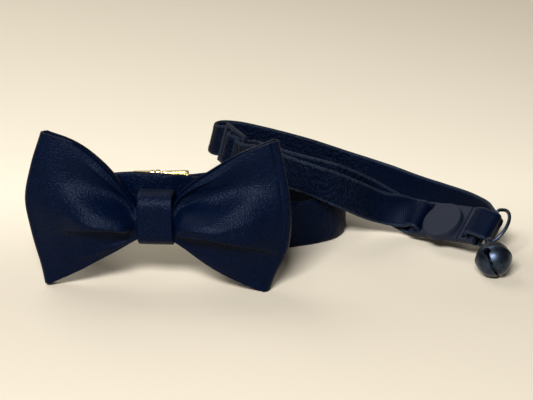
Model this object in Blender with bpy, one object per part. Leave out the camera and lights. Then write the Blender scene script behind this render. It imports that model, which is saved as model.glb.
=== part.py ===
"""A cat's dress collar laid down on a table: a bow tie sewn to its own wide satin band, which closes at
the back with a gilt hook and eye, and a narrow adjustable collar with a breakaway buckle and a bell,
which rests over the wide band. X runs along the bow, Y away from its face, Z up. Lengths are metres."""

from collections import namedtuple
from math import acos, atan2, cos, hypot, pi, radians, sin, tau

import bmesh
import bpy
import numpy as np
from mathutils import Euler, Matrix, Vector

# The clearance between pieces that touch
GAP = 0.0003

# The wide satin band
BAND_LENGTH = 0.232
BAND_WIDTH = 0.015
BAND_THICKNESS = 0.0024

# The bow and its centre wrap
BOW_LENGTH = 0.0778
BOW_HEIGHT = 0.047
BOW_DEPTH = 0.0125
BOW_WALL = 0.0011
BOW_END_FOLD = 0.0034
BOW_TURN = radians(-4.0)
KNOT_HEIGHT = 0.0158
KNOT_WIDTH = 0.0106
KNOT_DEPTH = 0.0105
KNOT_WALL = 0.0012
KNOT_BULGE = 1.04
KNOT_STEP = 0.0030

# The hook and eye on the wide band
CLASP_HOOK_LENGTH = 0.0090
CLASP_EYE_LENGTH = 0.0084
CLASP_WIRE = 0.0011
CLASP_RISE = 0.0009

# The narrow collar's strap
STRAP_WIDTH = 0.0105
STRAP_THICKNESS = 0.0018
COLLAR_LENGTH = 0.205

# The slider
SLIDER_BAR = 0.0013
SLIDER_SLOT = 0.0045

# The breakaway buckle
BUCKLE_THICKNESS = 0.0034
BUCKLE_RAIL = 0.0009
BUCKLE_BAR = 0.0017
BUCKLE_SLOT = 0.0029
BUCKLE_SHOULDER = 0.0005
PRONG_BODY = 0.0013
TONGUE_LENGTH = 0.0040
TONGUE_HEIGHT = 0.0076
TONGUE_THICKNESS = 0.0016
BOSS_RADIUS = 0.0067
BOSS_HEIGHT = 0.0013
BOSS_DROP = 0.0012
BUCKLE_TURN = radians(-44.0)
BUCKLE_LEAN = radians(-53.5)
BUCKLE_TIP = radians(-8.5)

# The D-ring and the bell
RING_WIRE = 0.0011
RING_REACH = 0.0076
RING_SHOULDER = 0.25
RING_SWING = radians(-12.0)
RING_HANG = radians(-61.0)
BELL_ROLL = radians(10.0)
BELL_RADIUS = 0.00565
BELL_WALL = 0.0006
BELL_RIM = 0.0003
BELL_SLIT = 0.0010
BELL_HOLE = 0.0011
BELL_HOLE_LEVEL = -0.20
BAIL_RADIUS = 0.0017
BAIL_WIRE = 0.0009
BAIL_SEAT = 0.72
PELLET_RADIUS = 0.0017

# How finely the shapes are cut
ROUTE_STEPS = 4
TURN_STEPS = 8
BOW_ROWS = 12

# The wide band's route round its loop. Along and away are shares of the band's length, from the point
# behind the knot, and lift is the height of its lower edge, a share of its width.
BandRow = namedtuple("BandRow", "along away lift")
BAND_ROUTE = [
    BandRow(0.000, 0.000, 1.14),
    BandRow(0.033, 0.007, 1.03),
    BandRow(0.083, 0.040, 0.66),
    BandRow(0.129, 0.075, 0.26),
    BandRow(0.171, 0.104, 0.00),
    BandRow(0.208, 0.119, 0.00),
    BandRow(0.232, 0.142, 0.00),
    BandRow(0.240, 0.173, 0.00),
    BandRow(0.229, 0.210, 0.00),
    BandRow(0.192, 0.242, 0.00),
    BandRow(0.138, 0.256, 0.00),
    BandRow(0.092, 0.246, 0.00),
    BandRow(0.050, 0.223, 0.00),
    BandRow(0.012, 0.212, 0.00),
    BandRow(-0.033, 0.211, 0.00),
    BandRow(-0.075, 0.206, 0.00),
    BandRow(-0.110, 0.179, 0.00),
    BandRow(-0.125, 0.129, 0.00),
    BandRow(-0.115, 0.075, 0.36),
    BandRow(-0.079, 0.029, 0.92),
    BandRow(-0.038, 0.004, 1.17),
]

# The bow's wings. Out runs from 0 at the knot's side to 1 at the wing's outer end. Top and bottom run from
# 0, where the knot grips the cloth, to 1 at the wing's upper and lower corners.
WingRow = namedtuple("WingRow", "out top bottom")
LEFT_ROWS = [
    WingRow(0.00, 0.000, 0.000),
    WingRow(0.05, 0.070, 0.055),
    WingRow(0.12, 0.190, 0.130),
    WingRow(0.22, 0.345, 0.238),
    WingRow(0.40, 0.585, 0.420),
    WingRow(0.65, 0.825, 0.685),
    WingRow(1.00, 1.000, 1.000),
]
RIGHT_ROWS = [
    WingRow(0.00, 0.000, 0.000),
    WingRow(0.05, 0.110, 0.060),
    WingRow(0.12, 0.225, 0.140),
    WingRow(0.22, 0.350, 0.265),
    WingRow(0.40, 0.530, 0.485),
    WingRow(0.65, 0.765, 0.740),
    WingRow(1.00, 1.000, 1.000),
]

# Each wing's corners above and below the knot's middle, shares of the bow's height.
Wing = namedtuple("Wing", "side column upper lower rows")
WINGS = {
    -1: Wing(-1, "left", 0.532, 0.458, LEFT_ROWS),
    1: Wing(1, "right", 0.515, 0.474, RIGHT_ROWS),
}

# The outer ends of the wings: height runs from -1 at the lower corner to 1 at the upper one, and the
# reach from the knot's middle is a share of half the bow's length.
EndRow = namedtuple("EndRow", "height left right")
WING_ENDS = [
    EndRow(-1.00, 0.835, 0.835),
    EndRow(-0.75, 0.885, 0.912),
    EndRow(-0.50, 0.920, 0.985),
    EndRow(-0.20, 0.955, 1.018),
    EndRow(0.10, 0.977, 1.018),
    EndRow(0.55, 0.922, 0.982),
    EndRow(1.00, 0.807, 0.907),
]

# Half the bow's thickness along a wing, at mid height and at its open edges: shares of its depth.
PuffRow = namedtuple("PuffRow", "out middle edge")
WING_PUFF = [
    PuffRow(0.00, 0.29, 0.20),
    PuffRow(0.12, 0.35, 0.20),
    PuffRow(0.28, 0.45, 0.22),
    PuffRow(0.48, 0.50, 0.21),
    PuffRow(0.75, 0.38, 0.17),
    PuffRow(1.00, 0.136, 0.136),
]

# The gathers that run out from the knot. Height is where a gather lies, as on the ends, spread is its
# half width there, depth a share of the bow's depth, and it fades out at the share fade of a wing.
GatherRow = namedtuple("GatherRow", "height spread depth fade")
FRONT_GATHERS = [
    GatherRow(0.46, 0.24, -0.19, 0.92),
    GatherRow(0.02, 0.26, 0.11, 0.72),
    GatherRow(-0.46, 0.24, -0.19, 0.86),
]
BACK_GATHERS = [
    GatherRow(0.40, 0.24, -0.10, 0.70),
    GatherRow(0.00, 0.26, 0.06, 0.60),
    GatherRow(-0.40, 0.24, -0.10, 0.70),
]

# The narrow collar's single strap, from the buckle round the back to the slider, and on to the buckle.
# Along and away are shares of the collar's length, from the point where it crosses the wide band's
# front wall, and lift is the height of its lower edge, a share of the wide band's width.
StrapRow = namedtuple("StrapRow", "along away lift")
BACK_ROUTE = [
    StrapRow(0.268, -0.010, 0.10),
    StrapRow(0.264, 0.035, 0.07),
    StrapRow(0.243, 0.078, 0.06),
    StrapRow(0.210, 0.117, 0.06),
    StrapRow(0.168, 0.151, 0.11),
    StrapRow(0.117, 0.175, 0.27),
    StrapRow(0.046, 0.190, 0.53),
    StrapRow(-0.029, 0.195, 0.85),
    StrapRow(-0.108, 0.203, 1.10),
]
LEFT_TURN = [
    StrapRow(-0.140, 0.206, 1.17),
    StrapRow(-0.162, 0.202, 1.20),
    StrapRow(-0.173, 0.189, 1.21),
    StrapRow(-0.168, 0.174, 1.20),
]
INNER_ROUTE = [
    StrapRow(-0.100, 0.078, 1.24),
    StrapRow(-0.052, 0.038, 1.20),
    StrapRow(-0.008, 0.013, 1.14),
    StrapRow(0.017, 0.004, 1.08),
    StrapRow(0.039, 0.009, 0.92),
    StrapRow(0.090, 0.036, 0.46),
]
OUTER_ROUTE = [
    StrapRow(0.095, 0.018, 0.36),
    StrapRow(0.039, -0.016, 0.84),
    StrapRow(0.000, -0.026, 1.11),
    StrapRow(-0.042, -0.002, 1.21),
    StrapRow(-0.090, 0.044, 1.26),
]
SLIDER_ROW = StrapRow(-0.140, 0.128, 1.20)
SLIDER_TURN = radians(-60.0)
END_LEAN = radians(14.0)
LEAN_START = -0.05
CROSSING_ROW = 5
CLASP_ROW = 13.5
BUCKLE_ROW = StrapRow(0.195, -0.015, 0.0)


def clear_scene():
    for found in list(bpy.data.objects):
        bpy.data.objects.remove(found, do_unlink=True)


def material(name, colour, roughness, metallic=0.0):
    made = bpy.data.materials.new(name)
    made.use_nodes = True
    shader = made.node_tree.nodes["Principled BSDF"]
    shader.inputs["Base Color"].default_value = (*colour, 1.0)
    shader.inputs["Roughness"].default_value = roughness
    shader.inputs["Metallic"].default_value = metallic
    return made


def empty(name, parent, location=(0, 0, 0), rotation=(0, 0, 0)):
    made = bpy.data.objects.new(name, None)
    bpy.context.scene.collection.objects.link(made)
    made.parent = parent
    made.location = location
    made.rotation_euler = rotation
    return made


def add(name, mesh, parent, finish, smooth=True):
    """A named piece, shaded smooth up to a sharp edge."""
    made = bpy.data.objects.new(name, mesh)
    bpy.context.scene.collection.objects.link(made)
    made.parent = parent
    if finish is not None:
        mesh.materials.append(finish)
    if smooth and mesh.polygons:
        mesh.shade_smooth()
        mesh.set_sharp_from_angle(angle=radians(40))
    return made


def mesh_from(bm, name):
    bmesh.ops.recalc_face_normals(bm, faces=bm.faces)
    mesh = bpy.data.meshes.new(name)
    bm.to_mesh(mesh)
    bm.free()
    return mesh


def smooth_route(rows, closed=False, steps=ROUTE_STEPS):
    """Rows on a smooth curve through the given ones, spaced by the place in their first three columns."""
    rows = np.array(rows, dtype=float)
    count = len(rows)
    if closed:
        before, after = rows[-1:], rows[:2]
    else:
        before, after = 2 * rows[:1] - rows[1:2], 2 * rows[-1:] - rows[-2:-1]
    padded = np.concatenate([before, rows, after])
    spans = np.sqrt(np.linalg.norm(np.diff(padded[:, :3], axis=0), axis=1))[:, None]
    rates = np.diff(padded, axis=0) / spans
    slopes = (rates[:-1] * spans[1:] + rates[1:] * spans[:-1]) / (spans[:-1] + spans[1:])
    route = []
    for i in range(count if closed else count - 1):
        start, end = padded[i + 1], padded[i + 2]
        leaving, arriving = slopes[i] * spans[i + 1], slopes[i + 1] * spans[i + 1]
        for t in np.arange(steps) / steps:
            route.append(
                start * (1 + 2 * t) * (1 - t) ** 2 + leaving * t * (1 - t) ** 2
                + end * t * t * (3 - 2 * t) + arriving * t * t * (t - 1)
            )
    if not closed:
        route.append(rows[-1])
    return route


def smooth_value(rows, key, name, at):
    """One column of a table, read between its rows on a smooth curve."""
    places = [getattr(row, key) for row in rows]
    values = [getattr(row, name) for row in rows]
    slopes = np.gradient(values, places)
    i = min(max(int(np.searchsorted(places, at)) - 1, 0), len(rows) - 2)
    span = places[i + 1] - places[i]
    t = (at - places[i]) / span
    return (
        values[i] * (1 + 2 * t) * (1 - t) ** 2
        + slopes[i] * span * t * (1 - t) ** 2
        + values[i + 1] * t * t * (3 - 2 * t)
        + slopes[i + 1] * span * t * t * (t - 1)
    )


def route_length(route, closed=False):
    ends = route[1:] + ([route[0]] if closed else [])
    return sum((b - a).length for a, b in zip(route, ends))


def skin(rings, closed):
    """A bmesh whose surface joins each ring of corners to the next, capped unless it closes on itself."""
    bm = bmesh.new()
    made = [[bm.verts.new(corner) for corner in ring] for ring in rings]
    following = made[1:] + ([made[0]] if closed else [])
    for ring, after in zip(made, following):
        for k, corner in enumerate(ring):
            beside = (k + 1) % len(ring)
            bm.faces.new((corner, ring[beside], after[beside], after[k]))
    if not closed:
        bm.faces.new(made[0])
        bm.faces.new(made[-1])
    return bm


def ribbon(name, route, ups, width, thickness, parent, finish, closed=False):
    """A strap along a route through its middle, its width along each up direction."""
    rings = []
    count = len(route)
    for i, (middle, up) in enumerate(zip(route, ups)):
        before = route[i - 1] if closed or i else route[0]
        after = route[(i + 1) % count] if closed or i + 1 < count else route[-1]
        along = (after - before).normalized()
        up = (up - along * up.dot(along)).normalized()
        out = along.cross(up) * (thickness / 2)
        up = up * (width / 2)
        rings.append((middle + up + out, middle + up - out, middle - up - out, middle - up + out))
    return add(name, mesh_from(skin(rings, closed), name), parent, finish)


def cuboid(name, low, high, parent, finish):
    bm = bmesh.new()
    low, high = Vector(low), Vector(high)
    place = Matrix.Translation((low + high) / 2) @ Matrix.Diagonal((*(high - low), 1))
    bmesh.ops.create_cube(bm, size=1.0, matrix=place)
    return add(name, mesh_from(bm, name), parent, finish, smooth=False)


def rod(name, start, end, radius, parent, finish, sides=16):
    """A round bar between two points."""
    bm = bmesh.new()
    start, end = Vector(start), Vector(end)
    turn = Vector((0, 0, 1)).rotation_difference(end - start).to_matrix().to_4x4()
    place = Matrix.Translation((start + end) / 2) @ turn
    bmesh.ops.create_cone(
        bm, cap_ends=True, segments=sides, radius1=radius, radius2=radius,
        depth=(end - start).length, matrix=place,
    )
    return add(name, mesh_from(bm, name), parent, finish)


def combine(base, others, operation):
    """A Boolean of the base with each helper, which stays hidden."""
    for other in others:
        other.hide_render = True
        other.display_type = "WIRE"
        change = base.modifiers.new(other.name, "BOOLEAN")
        change.operation = operation
        change.object = other


def wire_loop(name, points, diameter, parent, finish):
    """A bent wire that closes on itself."""
    curve = bpy.data.curves.new(name, "CURVE")
    curve.dimensions = "3D"
    curve.bevel_depth = diameter / 2
    curve.bevel_resolution = 1
    spline = curve.splines.new("POLY")
    spline.points.add(len(points) - 1)
    for point, place in zip(spline.points, points):
        point.co = (*place, 1)
    spline.use_cyclic_u = True
    made = bpy.data.objects.new(name, curve)
    bpy.context.scene.collection.objects.link(made)
    made.parent = parent
    curve.materials.append(finish)
    return made


def fade(start, end, at):
    """0 before start, 1 past end, and smooth between them."""
    t = min(max((at - start) / (end - start), 0), 1)
    return t * t * (3 - 2 * t)


# The bow


def gather_depth(gathers, out, height):
    """How far a panel stands out at its gathers."""
    total = 0
    for row in gathers:
        across = np.exp(-(((height - row.height) / row.spread) ** 2))
        along = fade(0.0, 0.14, out) * (1 - fade(0.35 * row.fade, row.fade, out))
        total += row.depth * across * along
    return total * BOW_DEPTH


def bow_point(side, out, height, face, inset):
    """A point on one panel of a wing. Side is -1 or 1, face is -1 on the front and 1 on the back."""
    wing = WINGS[side]
    grip_width = KNOT_WIDTH / 2
    grip_height = KNOT_HEIGHT / 2 - KNOT_WALL - GAP
    grip_depth = KNOT_DEPTH / 2 - KNOT_WALL - GAP
    share = max(out, 0)
    reach = smooth_value(WING_ENDS, "height", wing.column, height) * BOW_LENGTH / 2 - BOW_END_FOLD / 2
    top = smooth_value(wing.rows, "out", "top", share)
    bottom = smooth_value(wing.rows, "out", "bottom", share)
    grip_top = grip_height - KNOT_STEP
    top = grip_top + (wing.upper * BOW_HEIGHT - grip_top) * top
    bottom = grip_height + (wing.lower * BOW_HEIGHT - grip_height) * bottom
    middle = smooth_value(WING_PUFF, "out", "middle", share)
    edge = smooth_value(WING_PUFF, "out", "edge", share)
    gathers = FRONT_GATHERS if face < 0 else BACK_GATHERS
    depth = BOW_DEPTH * (edge + (middle - edge) * (1 - height * height))
    depth += gather_depth(gathers, share, height)
    depth = max(depth, BOW_WALL + GAP / 2)
    if share == 0:
        depth = min(depth, grip_depth)
    return Vector(
        (
            side * (grip_width + (reach - grip_width) * share if out >= 0 else 0),
            face * (depth - inset),
            (top + bottom) * (height + 1) / 2 - bottom,
        )
    )


def bow_end(side, height, inset):
    """The outer fold of a wing, where its front panel turns into its back one."""
    near = bow_point(side, 1.0, height, -1, inset)
    near.y = 0
    near.x += side * (BOW_END_FOLD / 2 - inset)
    return near


def bow_ring(height, inset):
    """One level of the bow's flattened loop, all the way round."""
    outs = (0.0, 0.05, 0.12, 0.2, 0.3, 0.42, 0.55, 0.68, 0.8, 0.91, 1.0)
    middle = -1.0
    ring = [bow_point(-1, middle, height, -1, inset)]
    ring += [bow_point(1, out, height, -1, inset) for out in outs]
    ring.append(bow_end(1, height, inset))
    ring += [bow_point(1, out, height, 1, inset) for out in reversed(outs)]
    ring.append(bow_point(1, middle, height, 1, inset))
    ring += [bow_point(-1, out, height, 1, inset) for out in outs]
    ring.append(bow_end(-1, height, inset))
    ring += [bow_point(-1, out, height, -1, inset) for out in reversed(outs)]
    return ring


def make_bow(parent, satin):
    """The loop of cloth as a wall: a ring of sections, each running up the outside and down the inside."""
    heights = [2 * k / BOW_ROWS - 1 for k in range(BOW_ROWS + 1)]
    outside = [bow_ring(height, 0) for height in heights]
    inside = [bow_ring(height, BOW_WALL) for height in reversed(heights)]
    sections = list(zip(*(outside + inside)))
    return add("bow_loop", mesh_from(skin(sections, True), "bow_loop"), parent, satin)


def make_knot(parent, satin):
    """The centre wrap, a short band bent round the gathered cloth."""
    half_depth = (KNOT_DEPTH - KNOT_WALL) / 2
    half_height = (KNOT_HEIGHT - KNOT_WALL) / 2
    bend = min(half_depth, half_height) * 0.35
    route = []
    for sign_y, sign_z, first in ((-1, 1, 90), (-1, -1, 180), (1, -1, 270), (1, 1, 0)):
        centre = Vector((0, sign_y * (half_depth - bend), sign_z * (half_height - bend)))
        for step in range(5):
            angle = radians(first + 22.5 * step)
            route.append(centre + Vector((0, cos(angle), sin(angle))) * bend)
        if sign_y * sign_z < 0:
            flat_middle = Vector((0, -half_depth * KNOT_BULGE, 0))
            route.append(flat_middle if sign_y < 0 else centre + Vector((0, bend, bend)))
    ups = [Vector((1, 0, 0))] * len(route)
    return ribbon("bow_knot", route, ups, KNOT_WIDTH, KNOT_WALL, parent, satin, closed=True)


# The wide band


def band_route():
    """The middle of the band's wall, all the way round at its real length."""
    shares = smooth_route([(row.along, row.away, 0, row.lift) for row in BAND_ROUTE], closed=True)
    unit = [Vector((along, away, 0)) for along, away, level, lift in shares]
    scale = BAND_LENGTH / route_length(unit, closed=True)
    turned = KNOT_DEPTH / 2 * cos(BOW_TURN) + KNOT_WIDTH / 2 * abs(sin(BOW_TURN))
    behind_knot = Vector((0, turned + GAP + BAND_THICKNESS / 2, 0))
    route = []
    for place, row in zip(unit, shares):
        height = Vector((0, 0, max(row[3], 0) * BAND_WIDTH + BAND_WIDTH / 2))
        route.append(place * scale + behind_knot + height)
    return route


def band_place(route, start, aside):
    """A place on the floor under the band, aside along it from one of its points, and its turn there."""
    i = start
    step = -1 if aside > 0 else 1
    left = abs(aside)
    while left > (route[i + step] - route[i]).length:
        left -= (route[i + step] - route[i]).length
        i += step
    along = (route[i + step] - route[i]).normalized()
    place = route[i] + along * left
    along = along * -step
    return (place.x, place.y, 0), (0, 0, atan2(-along.y, -along.x))


def make_clasp(name, frame, length, bar_share, metal):
    """A folded metal end that holds the band's two faces, with a raised bar along its top."""
    half = BAND_THICKNESS / 2 + 2 * GAP
    outer = half + CLASP_WIRE * 0.6
    top = BAND_WIDTH + GAP
    crown = top + CLASP_RISE
    clamp = cuboid(name, (-length / 2, -outer, GAP), (length / 2, outer, crown), frame, metal)
    room = cuboid(name + "_room", (-length, -half, -BAND_WIDTH), (length, half, top), frame, None)
    bar_half = length * bar_share / 2
    forward = -half * 0.5
    bar = rod(
        name + "_bar", (-bar_half, forward, crown), (bar_half, forward, crown),
        CLASP_WIRE / 2, frame, None, sides=10,
    )
    combine(clamp, [bar], "UNION")
    combine(clamp, [room], "DIFFERENCE")


# The slider, the buckle, the ring and the bell, each in the frame of what carries it


def plate_with_slot(name, low, high, slot_low, slot_high, thickness, parent, finish):
    """A flat frame in X and Z round a slot."""
    bm = bmesh.new()
    corners = [(low[0], low[1]), (high[0], low[1]), (high[0], high[1]), (low[0], high[1])]
    inner = [
        (slot_low[0], slot_low[1]), (slot_high[0], slot_low[1]),
        (slot_high[0], slot_high[1]), (slot_low[0], slot_high[1]),
    ]
    rings = []
    for depth, outline in ((-1, corners), (1, corners), (1, inner), (-1, inner)):
        rings.append([bm.verts.new((x, depth * thickness / 2, z)) for x, z in outline])
    for ring, after in zip(rings, rings[1:] + rings[:1]):
        for k in range(4):
            beside = (k + 1) % 4
            bm.faces.new((ring[k], ring[beside], after[beside], after[k]))
    return add(name, mesh_from(bm, name), parent, finish, smooth=False)


def buckle_half():
    """Half the buckle's height: the strap in its slot, and a rail beyond it."""
    return STRAP_WIDTH / 2 + GAP + BUCKLE_RAIL


def make_buckle(frame, plastic):
    """The socket with its round boss, and the prong whose tongue sits in it."""
    slot_half = STRAP_WIDTH / 2 + GAP
    half = buckle_half()
    mouth = BOSS_RADIUS + BUCKLE_SHOULDER
    slot_end = -mouth - BUCKLE_SLOT
    socket = plate_with_slot(
        "buckle_socket",
        (slot_end - BUCKLE_BAR, -half), (mouth, half), (slot_end, -slot_half), (-mouth, slot_half),
        BUCKLE_THICKNESS, frame, plastic,
    )
    face = -BUCKLE_THICKNESS / 2
    boss = rod(
        "boss_shape",
        (0, face + BUCKLE_THICKNESS / 4, -BOSS_DROP), (0, face - BOSS_HEIGHT, -BOSS_DROP),
        BOSS_RADIUS, frame, None, sides=36,
    )
    room = Vector((TONGUE_LENGTH + 2 * GAP, TONGUE_THICKNESS / 2 + GAP, TONGUE_HEIGHT / 2 + GAP))
    pocket = cuboid(
        "pocket_shape", (mouth - room.x, -room.y, -room.z), (mouth + GAP, room.y, room.z), frame, None
    )
    combine(socket, [boss], "UNION")
    combine(socket, [pocket], "DIFFERENCE")
    near = mouth + GAP
    prong = plate_with_slot(
        "buckle_prong",
        (near, -half), (near + PRONG_BODY + BUCKLE_SLOT + BUCKLE_BAR, half),
        (near + PRONG_BODY, -slot_half), (near + PRONG_BODY + BUCKLE_SLOT, slot_half),
        BUCKLE_THICKNESS, frame, plastic,
    )
    tongue = cuboid(
        "tongue_shape",
        (near - TONGUE_LENGTH, -TONGUE_THICKNESS / 2, -TONGUE_HEIGHT / 2),
        (near + PRONG_BODY / 2, TONGUE_THICKNESS / 2, TONGUE_HEIGHT / 2),
        frame, None,
    )
    combine(prong, [tongue], "UNION")
    return slot_end - BUCKLE_BAR / 2, near + PRONG_BODY + BUCKLE_SLOT + BUCKLE_BAR / 2


def ring_point(angle):
    """A point on the ring's bend: outermost at 0, and at its lower end a quarter turn back."""
    half = STRAP_WIDTH / 2 + RING_WIRE / 2 + 4 * GAP
    reach = RING_REACH * (RING_SHOULDER + (1 - RING_SHOULDER) * cos(angle))
    return Vector((reach, 0, half * sin(angle)))


def make_ring(frame, metal):
    """A D of wire whose straight side stands in the strap's fold."""
    bend = [ring_point(pi / 2 - pi * step / TURN_STEPS) for step in range(TURN_STEPS + 1)]
    straight = [Vector((0, 0, share * bend[0].z)) for share in (-1, 0, 1)]
    return wire_loop("d_ring", straight + bend, RING_WIRE, frame, metal)


def bail_height():
    """From the bell's middle to the middle of its bail."""
    return BELL_RADIUS + BAIL_RADIUS * BAIL_SEAT


def make_bell(frame, metal):
    """A hollow ball with a raised seam, a slit ending in round holes, and a bail at +Z."""
    bm = bmesh.new()
    profile = []
    steps = 10
    for k in range(steps + 1):
        angle = pi / 2 - pi * k / steps
        radius = BELL_RADIUS - BELL_RIM + (BELL_RIM if k == steps // 2 else 0)
        profile.append(Vector((radius * cos(angle), 0, radius * sin(angle))))
    for k in range(steps + 1):
        angle = -pi / 2 + pi * k / steps
        radius = BELL_RADIUS - BELL_RIM - BELL_WALL
        profile.append(Vector((radius * cos(angle), 0, radius * sin(angle))))
    verts = [bm.verts.new(point) for point in profile]
    half = len(profile) // 2
    edges = [bm.edges.new(pair) for pair in zip(verts[:half], verts[1:half])]
    edges += [bm.edges.new(pair) for pair in zip(verts[half:], verts[half + 1 :])]
    bmesh.ops.spin(bm, geom=edges, cent=(0, 0, 0), axis=(0, 0, 1), angle=tau, steps=20, use_merge=True)
    bmesh.ops.remove_doubles(bm, verts=bm.verts, dist=1e-6)
    mesh = bpy.data.meshes.new("bell")
    bmesh.ops.recalc_face_normals(bm, faces=bm.faces)
    middle_of_wall = BELL_RADIUS - BELL_RIM - BELL_WALL / 2
    inner = [face for face in bm.faces if face.calc_center_median().length < middle_of_wall * 0.985]
    bmesh.ops.reverse_faces(bm, faces=inner)
    bm.to_mesh(mesh)
    bm.free()
    shell = add("bell", mesh, frame, metal)
    reach = BELL_RADIUS * 2
    level = BELL_RADIUS * BELL_HOLE_LEVEL
    slit = cuboid("slit_shape", (-reach, -BELL_SLIT / 2, -reach), (reach, BELL_SLIT / 2, level), frame, None)
    hole = rod("hole_shape", (-reach, 0, level), (reach, 0, level), BELL_HOLE, frame, None, sides=12)
    slit.rotation_euler.z = hole.rotation_euler.z = BELL_ROLL
    centre = bail_height()
    turns = [tau * k / 12 for k in range(12)]
    bail_points = [Vector((BAIL_RADIUS * cos(turn), 0, centre + BAIL_RADIUS * sin(turn))) for turn in turns]
    bail = wire_loop("bail_curve", bail_points, BAIL_WIRE, frame, metal)
    bail_mesh = bpy.data.meshes.new_from_object(bail)
    bpy.data.objects.remove(bail, do_unlink=True)
    bail = add("bail_shape", bail_mesh, frame, None)
    combine(shell, [bail], "UNION")
    combine(shell, [slit, hole], "DIFFERENCE")


def make_slider(frame, plastic):
    """A frame of three bars: the strap runs behind the outer ones and in front of the middle one."""
    half_height = STRAP_WIDTH / 2 + GAP + SLIDER_BAR
    half_length = SLIDER_SLOT + SLIDER_BAR * 1.5
    slider = plate_with_slot(
        "slider",
        (-half_length, -half_height), (half_length, half_height),
        (-half_length + SLIDER_BAR, -half_height + SLIDER_BAR),
        (half_length - SLIDER_BAR, half_height - SLIDER_BAR),
        SLIDER_BAR, frame, plastic,
    )
    bar = cuboid(
        "slider_bar_shape",
        (-SLIDER_BAR / 2, -SLIDER_BAR / 2, -half_height + SLIDER_BAR / 2),
        (SLIDER_BAR / 2, SLIDER_BAR / 2, half_height - SLIDER_BAR / 2),
        frame, None,
    )
    combine(slider, [bar], "UNION")


# The narrow collar's strap


def wrap_offset():
    """How far the strap's middle lies from the middle of a buckle bar that it passes."""
    return BUCKLE_THICKNESS / 2 + GAP + STRAP_THICKNESS / 2


def bar_turn(bar, side):
    """The strap's middle round a buckle bar, from behind it by one side to in front of it."""
    reach = GAP + STRAP_THICKNESS / 2
    half_bar = BUCKLE_BAR / 2
    half_deep = BUCKLE_THICKNESS / 2
    corner = reach * cos(pi / 4)
    behind = [
        (0, half_deep + reach),
        (half_bar, half_deep + reach),
        (half_bar + corner, half_deep + corner),
        (half_bar + reach, half_deep),
    ]
    front = [(x, -y) for x, y in reversed(behind)]
    return [(bar + side * x, y) for x, y in behind + front]


def stations_on(rows, crossing):
    """Middle points of the strap along rows of a route, each with its up direction. It leans at its left end."""
    stations = []
    for row in rows:
        share = min(max((LEAN_START - row.along) / (LEAN_START - SLIDER_ROW.along), 0), 1)
        up = Vector((sin(END_LEAN * share), 0, cos(END_LEAN * share)))
        height = row.lift * BAND_WIDTH + STRAP_WIDTH / 2
        aside = Vector((row.along * COLLAR_LENGTH, row.away * COLLAR_LENGTH, height))
        stations.append((crossing + aside, up))
    return stations


def stations_in(frame, places):
    """Stations at places given in the X and Y of a frame."""
    up = (frame.to_3x3() @ Vector((0, 0, 1))).normalized()
    return [(frame @ Vector((x, y, 0)), up) for x, y in places]


def strap(name, stations, parent, finish):
    rows = smooth_route([(*place, *up) for place, up in stations])
    route = [Vector(row[:3]) for row in rows]
    ups = [Vector(row[3:]) for row in rows]
    return ribbon(name, route, ups, STRAP_WIDTH, STRAP_THICKNESS, parent, finish)


def make_strap(crossing, buckle, bars, slider, parent, satin):
    """The collar's strap: the sewn tail, the back, the turn, the slider, the inner and the outer layers."""
    socket_bar, prong_bar, ring_bar = bars
    wrap = wrap_offset()
    round_ring = RING_WIRE / 2 + GAP + STRAP_THICKNESS / 2
    bend = round_ring * cos(pi / 4)
    tail = bar_turn(prong_bar, -1)
    tail += [(ring_bar, -round_ring), (ring_bar + bend, -bend)]
    tail += [(ring_bar + round_ring, 0), (ring_bar + bend, bend)]
    tail.append((ring_bar + bend * 0.5, bend + RING_WIRE * 2))
    pitch = SLIDER_SLOT + SLIDER_BAR
    weave = SLIDER_BAR / 2 + 1.5 * GAP + STRAP_THICKNESS / 2
    threaded = [
        (bar + end * SLIDER_BAR * 0.6, side * weave)
        for bar, side in ((-pitch, 1), (0, -1), (pitch, 1)) for end in (-1, 1)
    ]
    before_bar = socket_bar - BUCKLE_BAR
    socket_turn = [(before_bar, wrap)] + bar_turn(socket_bar, 1) + [(before_bar, -wrap)]
    stations = stations_in(buckle, tail)
    stations += stations_on(BACK_ROUTE + LEFT_TURN, crossing)
    stations += stations_in(slider, threaded)
    stations += stations_on(INNER_ROUTE, crossing)
    stations += stations_in(buckle, socket_turn)
    stations += stations_on(OUTER_ROUTE, crossing)
    stations += stations_in(slider, [(pitch * 1.5, -weave * 1.1), (pitch * 0.8, -weave * 1.1)])
    return strap("collar_strap", stations, parent, satin)


def bell_place(ring):
    """The bell's frame. Its bail hangs on the ring's lower bend, and it rests on its side."""
    across_ring = ring.to_3x3()
    hang = ring @ ring_point(RING_HANG)
    tangent = (ring @ ring_point(RING_HANG + 0.01) - hang).normalized()
    facing = (across_ring @ Vector((0, 1, 0))).normalized()
    outward = facing.cross(tangent).normalized()
    if outward.dot(across_ring @ Vector((1, 0, 0))) < 0:
        outward = -outward
    steepest = atan2(-facing.z, outward.z)
    ratio = (BELL_RADIUS - hang.z) / (bail_height() * hypot(facing.z, outward.z))
    swing = steepest - acos(min(max(ratio, -1), 1))
    away = outward * cos(swing) - facing * sin(swing)
    to_bail = -away
    across = tangent.cross(to_bail)
    turned = Matrix((across, tangent, to_bail)).transposed().to_4x4()
    return Matrix.Translation(hang + away * bail_height()) @ turned


# The whole


def frame_at(place, rotation):
    return Matrix.Translation(place) @ Euler(rotation).to_matrix().to_4x4()


def empty_at(name, matrix, parent):
    return empty(name, parent, matrix.translation, matrix.to_euler())


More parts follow.
